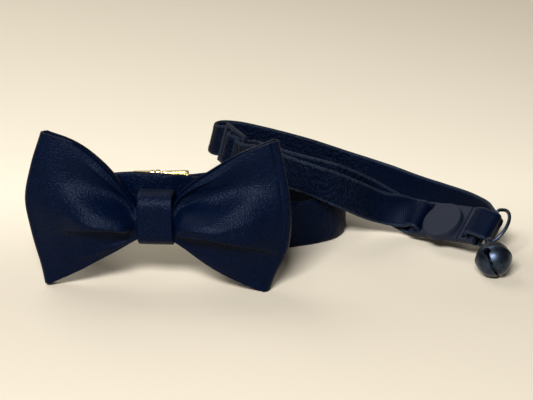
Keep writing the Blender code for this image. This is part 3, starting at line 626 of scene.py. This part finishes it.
# A fold follows a path of (out, height) points and has a half width at each end of it. It stands out or in
# by a share of the bow's depth, is gone at a share of the wing's length, and its lower flank is as steep as
# drop says: 1 is a round fold, and near 0 is a pleat that hangs over the cloth below.
Fold = namedtuple("Fold", "side path near_width far_width depth gone drop")
FOLDS = [
    Fold(-1, ((0.0, 0.66), (0.15, 0.58), (0.35, 0.50), (1.0, 0.52)), 0.28, 0.32, -0.32, 0.92, 1.0),
    Fold(-1, ((0.0, -0.24), (0.2, -0.16), (0.45, -0.20), (1.0, -0.32)), 0.60, 0.55, 0.34, 0.85, 0.12),
    Fold(-1, ((0.0, -0.66), (0.35, -0.58), (1.0, -0.52)), 0.18, 0.26, -0.05, 0.90, 1.0),
    Fold(
        -1,
        ((0.0, 0.22), (0.3, 0.14), (0.5, 0.22), (0.75, 0.38), (1.0, 0.50)),
        0.20, 0.12, 0.04, 0.90, 0.9,
    ),
    Fold(-1, ((0.0, -0.10), (0.3, -0.12), (0.6, -0.02), (1.0, 0.05)), 0.10, 0.08, 0.03, 0.80, 0.8),
    Fold(-1, ((0.0, 0.94), (0.35, 0.86), (1.0, 0.84)), 0.05, 0.06, 0.07, 0.60, 0.5),
    Fold(-1, ((0.0, -0.90), (0.4, -0.80), (1.0, -0.72)), 0.08, 0.10, 0.03, 0.90, 0.6),
    Fold(1, ((0.0, 0.68), (0.15, 0.58), (0.40, 0.48), (1.0, 0.56)), 0.28, 0.32, -0.34, 1.20, 1.0),
    Fold(
        1,
        ((0.0, -0.34), (0.38, -0.22), (0.55, -0.28), (0.85, -0.38), (1.0, -0.44)),
        0.60, 0.52, 0.34, 1.15, 0.12,
    ),
    Fold(1, ((0.0, -0.78), (0.38, -0.56), (1.0, -0.76)), 0.18, 0.22, -0.05, 0.95, 1.0),
    Fold(
        1,
        ((0.0, 0.20), (0.25, 0.06), (0.4, 0.12), (0.6, 0.26), (0.8, 0.32), (1.0, 0.34)),
        0.20, 0.14, 0.06, 1.20, 0.9,
    ),
    Fold(1, ((0.0, -0.08), (0.35, -0.08), (0.6, 0.02), (1.0, 0.06)), 0.11, 0.10, 0.04, 1.05, 0.7),
    Fold(1, ((0.0, 0.95), (0.35, 0.88), (1.0, 0.86)), 0.05, 0.06, 0.06, 0.60, 0.5),
]


def read(rows, at, column):
    """A table read between its rows on a smooth curve."""
    places = [row.at for row in rows]
    values = [row[column] for row in rows]
    slopes = np.gradient(values, places)
    i = min(max(int(np.searchsorted(places, at)) - 1, 0), len(rows) - 2)
    span = places[i + 1] - places[i]
    t = (at - places[i]) / span
    return (
        values[i] * (1 + 2 * t) * (1 - t) ** 2
        + slopes[i] * span * t * (1 - t) ** 2
        + values[i + 1] * t * t * (3 - 2 * t)
        + slopes[i + 1] * span * t * t * (t - 1)
    )


def fade(start, end, at):
    t = min(max((at - start) / (end - start), 0.0), 1.0)
    return t * t * (3 - 2 * t)


def fold_depth(side, out, height, face):
    total = 0.0
    for fold in FOLDS:
        if fold.side == side:
            middle = np.interp(out, *zip(*fold.path))
            width = fold.near_width + (fold.far_width - fold.near_width) * fade(0.0, 0.6, out)
            away = (height - middle) / width
            away = away if away > 0 else away / fold.drop
            total += fold.depth * np.exp(-away * away) * (1 - fade(0.35 * fold.gone, fold.gone, out))
    return total * BOW_DEPTH * fade(0.0, 0.10, out) * (1.0 if face < 0 else 0.4)


def bow_point(side, out, height, face, inset=0.0):
    """A point of a wing's panel. Side is -1 or 1, and face is -1 in front and 1 behind."""
    upper, lower, edges = CORNERS[side]
    grip = Vector((KNOT_WIDTH / 2, KNOT_DEPTH / 2 - KNOT_WALL - GAP, KNOT_HEIGHT / 2 - KNOT_WALL - GAP))
    share = max(out, 0.0)
    reach = read(ENDS, height, 1 if side < 0 else 2) * BOW_LENGTH / 2 - BOW_FOLD / 2
    grip_top = grip.z - KNOT_STEP
    top = grip_top + (upper * BOW_HEIGHT - grip_top) * read(edges, share, 1)
    bottom = grip.z + (lower * BOW_HEIGHT - grip.z) * read(edges, share, 2)
    middle, edge = read(PUFF, share, 1), read(PUFF, share, 2)
    depth = BOW_DEPTH * (edge + (middle - edge) * (1 - height * height))
    depth += fold_depth(side, share, height, face)
    creases = noise(Vector((side * 3 + out * 5.0, height * 2.2, face * 4.0)))
    depth += BOW_CREASE * creases * fade(0.1, 0.4, share) * (1 - fade(0.8, 1.0, share))
    if side > 0:
        depth -= BOW_GROOVE * np.exp(-(((share - 0.975) / 0.007) ** 2))
    depth = max(depth, BOW_WALL + GAP / 2)
    if share == 0:
        depth = min(depth, grip.y)
    x = side * (grip.x + (reach - grip.x) * share) if out >= 0 else 0.0
    return Vector((x, face * (depth - inset), (top + bottom) * (height + 1) / 2 - bottom))


# %% The bow's loop
OUTS = [
    *(0.0, 0.02, 0.05, 0.08, 0.12, 0.16, 0.2, 0.25, 0.3, 0.36, 0.42, 0.48, 0.55),
    *(0.61, 0.68, 0.74, 0.8, 0.86, 0.91, 0.95, 0.968, 0.975, 0.982, 0.989, 1.0),
]
BOW_ROWS = 96


def bow_ring(height, inset):
    """One level of the loop, all the way round, with each end turned over in a narrow fold."""
    ring = [bow_point(-1, -1.0, height, -1, inset)]
    ring += [bow_point(1, out, height, -1, inset) for out in OUTS]
    for side in (1, -1):
        last = bow_point(side, 1.0, height, -1, inset)
        for k in range(1, 6):
            angle = pi * k / 6
            reach = side * (BOW_FOLD / 2 - inset) * sin(angle)
            ring.append(Vector((last.x + reach, side * -cos(angle) * abs(last.y), last.z)))
        if side > 0:
            ring += [bow_point(1, out, height, 1, inset) for out in reversed(OUTS)]
            ring.append(bow_point(1, -1.0, height, 1, inset))
            ring += [bow_point(-1, out, height, 1, inset) for out in OUTS]
    ring += [bow_point(-1, out, height, -1, inset) for out in reversed(OUTS)]
    return ring


heights = [2 * k / BOW_ROWS - 1 for k in range(BOW_ROWS + 1)]
outside = [bow_ring(height, 0.0) for height in heights]
inside = [bow_ring(height, BOW_WALL) for height in reversed(heights)]
sections = [[BOW_FRAME @ point for point in section] for section in zip(*(outside + inside))]
run = [0.0]
middle_level = outside[BOW_ROWS // 2]
for i in range(len(middle_level)):
    run.append(run[-1] + (middle_level[(i + 1) % len(middle_level)] - middle_level[i]).length)
levels = [height * BOW_HEIGHT / 2 for height in heights]
bm = skin(sections, run, levels + levels[::-1] + levels[:1], True)
bow = finish_piece("bow", bm, bow_satin, ["bow_loop"], 60)

# %% [markdown]
# ## The layers inside the bow
# Along the wings' upper edges more than one fold shows, because the bow is several layers of satin pressed
# together. Two more thin sheets follow each upper edge closely, between the front and the back panel.

# %% Inner layers


def bow_layer(name, side, share, rise):
    """A thin strip under a wing's edges, between the panels, at a share of the way from front to back."""
    rings = []
    run = []
    for out in OUTS[1:]:
        front = bow_point(side, out, 1.0, -1, BOW_WALL)
        back = bow_point(side, out, 1.0, 1, BOW_WALL)
        top = front.lerp(back, share)
        top.z += rise * (1 - out**3) - 0.0005 * out**3
        low = bow_point(side, out, 0.72, -1, BOW_WALL).lerp(bow_point(side, out, 0.72, 1, BOW_WALL), share)
        thick = Vector((0.0, LAYER_HALF, 0.0))
        bead = Vector((0.0, 0.0, LAYER_HALF * 0.6))
        corners = (top - thick, top + bead, top + thick, low + thick, low - thick)
        rings.append([BOW_FRAME @ point for point in corners])
        run.append(abs(top.x))
    bm = skin(rings, run, [0.0, 0.0003, 0.0006, 0.004, 0.0044, 0.0], False)
    return finish_piece(name, bm, bow_satin, (), 60)


for side, word in ((-1, "left"), (1, "right")):
    for number, (share, rise) in enumerate(((0.32, 0.0008), (0.66, 0.0003))):
        bow_layer(f"bow_layer_{word}_{number}", side, share, rise)

# %% [markdown]
# ## The wrap round the bow's middle
# The knot is not tied: it is a short band of the same satin drawn tight round the gathers and sewn behind.
# It bulges a little over the cloth it squeezes and its two raw edges are turned under.

# %% The wrap


def wrap_route():
    half_depth, half_height = (KNOT_DEPTH - KNOT_WALL) / 2, (KNOT_HEIGHT - KNOT_WALL) / 2
    bend = min(half_depth, half_height) * 0.72
    points = []
    for sign_y, sign_z, first in ((-1, 1, 90), (-1, -1, 180), (1, -1, 270), (1, 1, 0)):
        centre = Vector((0.0, sign_y * (half_depth - bend), sign_z * (half_height - bend)))
        for step in range(7):
            angle = radians(first + 15 * step)
            points.append(centre + Vector((0.0, cos(angle), sin(angle))) * bend)
    dense = []
    for i, point in enumerate(points):
        after = points[(i + 1) % len(points)]
        pieces = max(1, round((after - point).length / 0.0009))
        dense += [point.lerp(after, k / pieces) for k in range(pieces)]
    return dense


def wrap_section():
    half, deep = KNOT_WIDTH / 2, KNOT_WALL / 2
    points = []
    cuts = 16
    for k in range(cuts + 1):
        share = 1 - 2 * k / cuts
        bulge = KNOT_BULGE * (1 - share * share) + KNOT_LIP * np.exp(-(((abs(share) - 0.93) / 0.06) ** 2))
        points.append(((half - deep) * share, deep + bulge - KNOT_SINK))
    for k in range(1, 5):
        angle = pi / 2 + pi * k / 5
        points.append((-(half - deep) + deep * cos(angle), deep * sin(angle) - KNOT_SINK * (1 - k / 5)))
    points += [((half - deep) * (2 * k / 8 - 1), -deep) for k in range(9)]
    for k in range(1, 5):
        angle = -pi / 2 + pi * k / 5
        points.append(((half - deep) + deep * cos(angle), deep * sin(angle) - KNOT_SINK * k / 5))
    return points


def wrap_ripple(run, across, depth):
    soft = noise(Vector((run * 130, across * 260, 9.0)))
    return WRAP_WAVE * soft if depth > 0 else 0.0


points = wrap_route()
spin = BOW_FRAME.to_3x3()
wrap_ups = [spin @ Vector((-1.0, 0.0, 0.0))] * len(points)
wrap = ribbon(
    "bow_wrap",
    [BOW_FRAME @ (point + Vector((KNOT_SHIFT, 0.0, 0.0))) for point in points],
    wrap_ups,
    wrap_section(),
    bow_satin,
    ["bow_knot"],
    True,
    wrap_ripple,
)

# %% [markdown]
# ## Flat moulded frames
# The slider and both halves of the buckle are plates with slots. Drawing each as a grid of cells, leaving
# out the slots, pulling the rest to its thickness and rounding every edge gives one clean moulding.

# %% Lattice helper


def lattice(xs, zs, holes, thickness, place, rounding):
    """A plate in X and Z from grid lines, without the cells in holes, with rounded edges."""
    bm = bmesh.new()
    verts = [[bm.verts.new((x, -thickness / 2, z)) for z in zs] for x in xs]
    faces = []
    for i in range(len(xs) - 1):
        for k in range(len(zs) - 1):
            if (i, k) not in holes:
                corners = (verts[i][k], verts[i + 1][k], verts[i + 1][k + 1], verts[i][k + 1])
                faces.append(bm.faces.new(corners))
    loose = [vert for vert in bm.verts if not vert.link_faces]
    bmesh.ops.delete(bm, geom=loose, context="VERTS")
    grown = bmesh.ops.extrude_face_region(bm, geom=faces, use_keep_orig=True)["geom"]
    moved = [item for item in grown if isinstance(item, bmesh.types.BMVert)]
    bmesh.ops.translate(bm, verts=moved, vec=(0.0, thickness, 0.0))
    bmesh.ops.recalc_face_normals(bm, faces=bm.faces)
    sharp = [edge for edge in bm.edges if edge.is_manifold and edge.calc_face_angle() > radians(30)]
    bmesh.ops.bevel(
        bm, geom=sharp, offset=rounding, segments=3, profile=0.5, affect="EDGES", material=-1,
        clamp_overlap=True,
    )
    bmesh.ops.transform(bm, matrix=place, verts=bm.verts)
    return bm


def turned(profile, place, steps=48):
    """A piece turned on a lathe about its own Y axis, from (radius, y) points."""
    bm = bmesh.new()
    verts = [bm.verts.new((radius, y, 0.0)) for radius, y in profile]
    edges = [bm.edges.new(pair) for pair in zip(verts, verts[1:])]
    bmesh.ops.spin(bm, geom=edges, cent=(0, 0, 0), axis=(0, 1, 0), angle=tau, steps=steps, use_merge=True)
    bmesh.ops.remove_doubles(bm, verts=bm.verts, dist=1e-6)
    bmesh.ops.recalc_face_normals(bm, faces=bm.faces)
    bmesh.ops.transform(bm, matrix=place, verts=bm.verts)
    return bm


# %% The buckle and the slider
slot_half = STRAP_WIDTH / 2 + GAP
rail = slot_half + BUCKLE_RAIL
mouth = BOSS_RADIUS + BUCKLE_SHOULDER
socket_xs = [-mouth - BUCKLE_SLOT - BUCKLE_BAR, -mouth - BUCKLE_SLOT, -mouth, mouth]
heights_z = [-rail, -slot_half, slot_half, rail]
bm = lattice(socket_xs, heights_z, {(1, 1)}, PLATE_THICKNESS, BUCKLE_FRAME, 0.0004)
socket = finish_piece("socket_plate", bm, black_plastic, ["buckle_socket"], 40)
near = mouth + GAP
inner = near + PRONG_BODY
prong_xs = [near, inner, inner + BUCKLE_SLOT, inner + BUCKLE_SLOT + BUCKLE_BAR]
bm = lattice(prong_xs, heights_z, {(1, 1)}, PLATE_THICKNESS, BUCKLE_FRAME, 0.0004)
prong = finish_piece("prong_plate", bm, black_plastic, ["buckle_prong"], 40)

face = -BUCKLE_THICKNESS / 2
crest = face - BOSS_HEIGHT
boss_profile = [
    (BOSS_RADIUS, face + 0.0010),
    (BOSS_RADIUS, crest + BOSS_RIM),
    (BOSS_RADIUS - BOSS_RIM * 0.3, crest + BOSS_RIM * 0.3),
    (BOSS_RADIUS - BOSS_RIM, crest),
    (BOSS_RADIUS - BOSS_RIM * 1.9, crest + 0.00006),
    (BOSS_RADIUS * 0.5, crest - 0.00008),
    (0.0, crest - 0.00010),
]
bm = turned(boss_profile, BUCKLE_FRAME @ Matrix.Translation((0, 0, -BOSS_DROP)), 64)
boss = finish_piece("buckle_boss", bm, black_plastic, (), 40)

reach = SLIDER_SLOT + SLIDER_BAR * 1.5
slider_xs = [-reach, -reach + SLIDER_BAR, -SLIDER_BAR / 2, SLIDER_BAR / 2, reach - SLIDER_BAR, reach]
slider_z = [-slot_half - SLIDER_BAR, -slot_half, slot_half, slot_half + SLIDER_BAR]
bm = lattice(slider_xs, slider_z, {(1, 1), (3, 1)}, SLIDER_BAR, SLIDER_FRAME, 0.00035)
slider = finish_piece("slider_plate", bm, black_plastic, ["slider"], 40)

# %% [markdown]
# ## The ring and the bell
# The D-ring is one bent wire whose straight side stands in the strap's fold. The bell is pressed from two
# cups, and their joint is the raised line round its middle. Its slit ends in round holes so that the metal
# does not tear, and a small wire bail is soldered to the top.

# %% The ring


def ring_point(angle):
    half = STRAP_WIDTH / 2 + RING_WIRE / 2 + 4 * GAP
    out = RING_REACH * (RING_SHOULDER + (1 - RING_SHOULDER) * cos(angle))
    return Vector((out, 0.0, half * sin(angle)))


bend = [ring_point(pi / 2 - pi * k / 20) for k in range(21)]
straight = [Vector((0.0, 0.0, share * bend[0].z)) for share in (-1.0, -0.9, -0.5, 0.0, 0.5, 0.9, 1.0)]
corner_low, corner_high = Vector((RING_CORNER, 0.0, -bend[0].z)), Vector((RING_CORNER, 0.0, bend[0].z))
points = straight[1:-1] + [corner_high] + bend + [corner_low]
bm = tube([RING_FRAME @ point for point in points], RING_WIRE / 2)
ring = finish_piece("ring_wire", bm, black_metal, ["d_ring"])

# %% The bell


def bell_profile():
    """The ball's outside from pole to pole with a raised seam, and its inside on the way back."""
    steps = 24
    points = []
    for k in range(steps + 1):
        angle = pi / 2 - pi * k / steps
        radius = BELL_SKIN + BELL_SEAM * np.exp(-((angle / 0.075) ** 2))
        points.append((radius * cos(angle), radius * sin(angle)))
    inner = BELL_SKIN - BELL_WALL
    for k in range(steps + 1):
        angle = -pi / 2 + pi * k / steps
        points.append((inner * cos(angle), inner * sin(angle)))
    return points, steps + 1


def hidden_helper(name, bm):
    mesh = bpy.data.meshes.new(name)
    bm.to_mesh(mesh)
    bm.free()
    made = bpy.data.objects.new(name, mesh)
    bpy.context.scene.collection.objects.link(made)
    return made


def make_bell():
    points, half = bell_profile()
    bm = bmesh.new()
    for part in (points[:half], points[half:]):
        verts = [bm.verts.new((radius, 0.0, z)) for radius, z in part]
        edges = [bm.edges.new(pair) for pair in zip(verts, verts[1:])]
        bmesh.ops.spin(bm, geom=edges, cent=(0, 0, 0), axis=(0, 0, 1), angle=tau, steps=48, use_merge=True)
    bmesh.ops.remove_doubles(bm, verts=bm.verts, dist=1e-6)
    bmesh.ops.recalc_face_normals(bm, faces=bm.faces)
    wall = BELL_SKIN - BELL_WALL / 2
    inner = [part for part in bm.faces if part.calc_center_median().length < wall * 0.99]
    for part in inner:
        part.normal_update()
    wrong = [part for part in inner if part.normal.dot(part.calc_center_median()) > 0]
    bmesh.ops.reverse_faces(bm, faces=wrong)
    shell = hidden_helper("bell_shell_shape", bm)
    level = BELL_RADIUS * BELL_HOLE_LEVEL
    reach = BELL_RADIUS * 2
    roll = Matrix.Rotation(BELL_ROLL, 4, "Z")
    cutter = bmesh.new()
    size = Matrix.Diagonal((2 * reach, BELL_SLIT, reach + level, 1.0))
    middle = Matrix.Translation((0, 0, (level - reach) / 2))
    bmesh.ops.create_cube(cutter, size=1.0, matrix=roll @ middle @ size)
    slit = hidden_helper("bell_slit_shape", cutter)
    cutter = bmesh.new()
    turn = Matrix.Rotation(pi / 2, 4, "Y")
    bmesh.ops.create_cone(
        cutter, cap_ends=True, segments=24, radius1=BELL_HOLE, radius2=BELL_HOLE, depth=2 * reach,
        matrix=roll @ Matrix.Translation((0, 0, level)) @ turn,
    )
    hole = hidden_helper("bell_hole_shape", cutter)
    for other in (slit, hole):
        change = shell.modifiers.new(other.name, "BOOLEAN")
        change.operation = "DIFFERENCE"
        change.solver = "EXACT"
        change.object = other
    cut = bpy.data.meshes.new_from_object(shell.evaluated_get(bpy.context.evaluated_depsgraph_get()))
    bm = bmesh.new()
    bm.from_mesh(cut)
    for used in (shell, slit, hole):
        bpy.data.objects.remove(used, do_unlink=True)
    bmesh.ops.transform(bm, matrix=BELL_FRAME, verts=bm.verts)
    return bm


bell = finish_piece("bell_ball", make_bell(), black_metal, ["bell"], 35)
centre = Vector((0.0, 0.0, BELL_RADIUS + BAIL_RADIUS * BAIL_SEAT))
loop = [centre + Vector((cos(tau * k / 24), 0.0, sin(tau * k / 24))) * BAIL_RADIUS for k in range(24)]
bail = finish_piece("bell_bail", tube([BELL_FRAME @ point for point in loop], BAIL_WIRE / 2), black_metal)
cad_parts["bell_pellet"].material_slots[0].material = black_metal

# %% [markdown]
# ## The gilt clasp
# The wide band closes with a folded metal end on each side. Only their tops show over the band in front, as
# one long rolled bar and two short lumps. Thin sheet metal always shows its edge and a bright rolled line,
# so both ends are bent from a strip and rounded.

# %% The clasp


def clamp(name, place, length, replaced):
    """A strip of sheet bent down over the band's top edge and closed at both faces."""
    half = BAND_THICKNESS / 2 + 2 * GAP
    outer = half + CLAMP_SHEET
    top = BAND_WIDTH + GAP
    crown = top + CLAMP_CROWN
    outline = [
        (-outer, GAP), (-outer, crown - 0.0005), (-outer + 0.0004, crown), (outer - 0.0004, crown),
        (outer, crown - 0.0005), (outer, GAP), (half, GAP), (half, top), (-half, top), (-half, GAP),
    ]
    rings = []
    for share in (-1.0, -0.96, 0.96, 1.0):
        squeeze = 0.991 if abs(share) == 1.0 else 1.0
        rings.append([place @ Vector((share * length / 2, y * squeeze, z)) for y, z in outline])
    bm = skin(rings, [0.0] * 4, [0.0] * 11, False)
    return finish_piece(name, bm, gilt, replaced, 40)


hook = clamp("hook_clamp", HOOK_FRAME, 0.0090, ["clasp_hook"])
eye = clamp("eye_clamp", EYE_FRAME, 0.0084, ["clasp_eye"])


def rolled(name, place, start, end, radius, y):
    """A short round bar along the clamps' crown."""
    level = BAND_WIDTH + GAP + CLAMP_CROWN + radius * 0.3
    points = [place @ Vector((start + (end - start) * k / 6, y, level)) for k in range(7)]
    bm = tube(points, radius, 14, False)
    sharp = [edge for edge in bm.edges if edge.is_manifold and edge.calc_face_angle() > radians(60)]
    bmesh.ops.bevel(
        bm, geom=sharp, offset=radius * 0.35, segments=2, profile=0.5, affect="EDGES", material=-1
    )
    return finish_piece(name, bm, gilt)


bars = [
    rolled("eye_bar", EYE_FRAME, -0.0040, 0.0046, 0.00062, -0.0008),
    rolled("hook_lump_a", HOOK_FRAME, 0.0012, 0.0026, 0.00085, -0.0006),
    rolled("hook_lump_b", HOOK_FRAME, 0.0030, 0.0044, 0.00095, -0.0006),
]

# %% [markdown]
# ## Floor, light and camera
# The collar lies on a cream surface whose colour is painted darker towards the front, as painted shade that
# tempers the small front lamp's light there. A broad lamp behind gives the soft light, and the small one in
# front draws the bright lines along the satin's folds. The camera looks down by twenty degrees through a
# long lens, which keeps the bow and the bell in proportion.

# %% Floor
floor_finish = Finish("floor_cream", Roughness=0.75)
place = floor_finish.place()
depth = floor_finish.node("SeparateXYZ", output=1, Vector=place)
patches = floor_finish.noise(place, 6.0, 2.0)
cream = floor_finish.mix(patches, (0.76, 0.70, 0.58, 1.0), (0.79, 0.73, 0.61, 1.0))
# Painted shade: the floor's colour darkens towards the front, to temper the light that the front lamp throws
# there.
cream_with_painted_front_shade = floor_finish.mix(depth.step(0.06, -0.05), cream, (0.50, 0.455, 0.375, 1.0))
floor_finish.set("Base Color", cream_with_painted_front_shade)
bm = bmesh.new()
FAR, SWEEP, REACH, BELOW = 0.9, 0.25, 2.5, 0.00002
profile = [(-REACH, 0.0), (FAR - SWEEP, 0.0)]
for k in range(1, 13):
    turn = pi / 2 * k / 12
    profile.append((FAR - SWEEP + SWEEP * sin(turn), SWEEP - SWEEP * cos(turn)))
profile.append((FAR, FAR))
verts = [[bm.verts.new((x, y, z - BELOW)) for y, z in profile] for x in (-REACH, REACH)]
for k in range(len(profile) - 1):
    bm.faces.new((verts[0][k], verts[1][k], verts[1][k + 1], verts[0][k + 1]))
mesh = bpy.data.meshes.new("floor")
bm.to_mesh(mesh)
bm.free()
mesh.materials.append(floor_finish.material)
mesh.shade_smooth()
floor = bpy.data.objects.new("floor", mesh)
bpy.context.scene.collection.objects.link(floor)

# %% Lights


def area_light(name, place, aim, size, power, colour=(1.0, 1.0, 1.0)):
    data = bpy.data.lights.new(name, "AREA")
    data.shape = "RECTANGLE"
    data.size, data.size_y = size
    data.energy = power
    data.color = colour
    made = bpy.data.objects.new(name, data)
    bpy.context.scene.collection.objects.link(made)
    made.location = place
    made.rotation_euler = (Vector(aim) - Vector(place)).to_track_quat("-Z", "Y").to_euler()
    return made


area_light("key", (-0.36, 0.34, 0.62), (0.0, 0.0, 0.0), (0.5, 0.5), 2.6, (1.0, 0.97, 0.91))
area_light("glint", (-0.10, -0.52, 0.42), (-0.02, 0.0, 0.02), (0.24, 0.12), 7.8, (1.0, 0.98, 0.96))
world = bpy.data.worlds.new("studio")
world.use_nodes = True
world.node_tree.nodes["Background"].inputs[0].default_value = (1.0, 0.965, 0.90, 1.0)
world.node_tree.nodes["Background"].inputs[1].default_value = 0.10
bpy.context.scene.world = world
bpy.context.scene.view_settings.view_transform = "Standard"

# %% Camera
lens = bpy.data.cameras.new("camera")
lens.sensor_width = 36.0
lens.lens = 1352.0 / 533.0 * 36.0
lens.clip_start = 0.01
camera = bpy.data.objects.new("camera", lens)
bpy.context.scene.collection.objects.link(camera)
camera.location = Vector((32.4, -367.1, 161.0)) * MM + OFFSET
camera.rotation_euler = (radians(70), 0.0, 0.0)
bpy.context.scene.camera = camera
